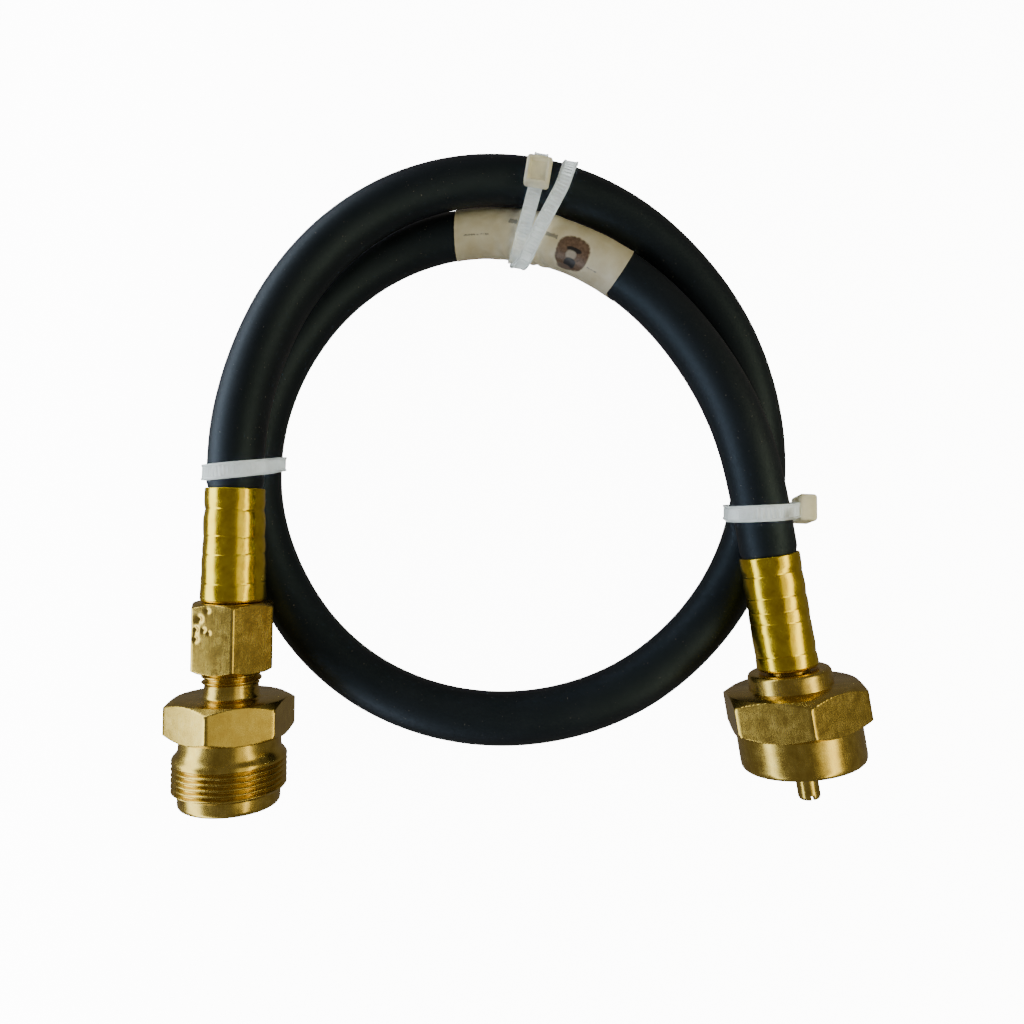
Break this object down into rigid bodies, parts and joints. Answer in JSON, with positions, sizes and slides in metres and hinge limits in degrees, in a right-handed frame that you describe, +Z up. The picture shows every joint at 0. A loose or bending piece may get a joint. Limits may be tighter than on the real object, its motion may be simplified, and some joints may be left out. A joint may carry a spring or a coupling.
{
  "type": "gas extension hose",
  "caption": "Coiled rubber gas hose held by cable ties, with a male cylinder-thread fitting at one end and a swivel hex nut with a probe nose at the other.",
  "frame": {"origin": "on the surface the coil lies on, below the middle of the box round the two metal fittings; the hose, its label and its ties are left out of that box", "axes": "+Z up from the surface; -Y the way both fittings point; the male cylinder thread is on the -X side and the swivel nut on the +X side"},
  "size_m": [0.1573, 0.1631, 0.0335],
  "materials": {
    "hose_rubber": "matte",
    "label_paper": "matte",
    "ferrule_brass": "polished",
    "fitting_brass": "satin",
    "seal_rubber": "matte",
    "tie_nylon": "satin"
  },
  "bodies": {
    "base": {"hose": "hose_rubber", "hose_label": "label_paper", "left_ferrule": "ferrule_brass", "left_stem": "fitting_brass", "cylinder_adapter": "fitting_brass", "right_ferrule": "ferrule_brass", "right_stem": "fitting_brass", "nose_seal": "seal_rubber", "tie_left": "tie_nylon", "tie_right": "tie_nylon", "tie_top": "tie_nylon"},
    "nut": {"swivel_nut": "fitting_brass"}
  },
  "joints": [
    {"name": "nut_spin", "type": "hinge", "parent": "base", "child": "nut", "pos_m": [0.06331, -0.01371, 0.0167], "axis": [0.1541, -0.9727, -0.1736], "continuous": true}
  ]
}
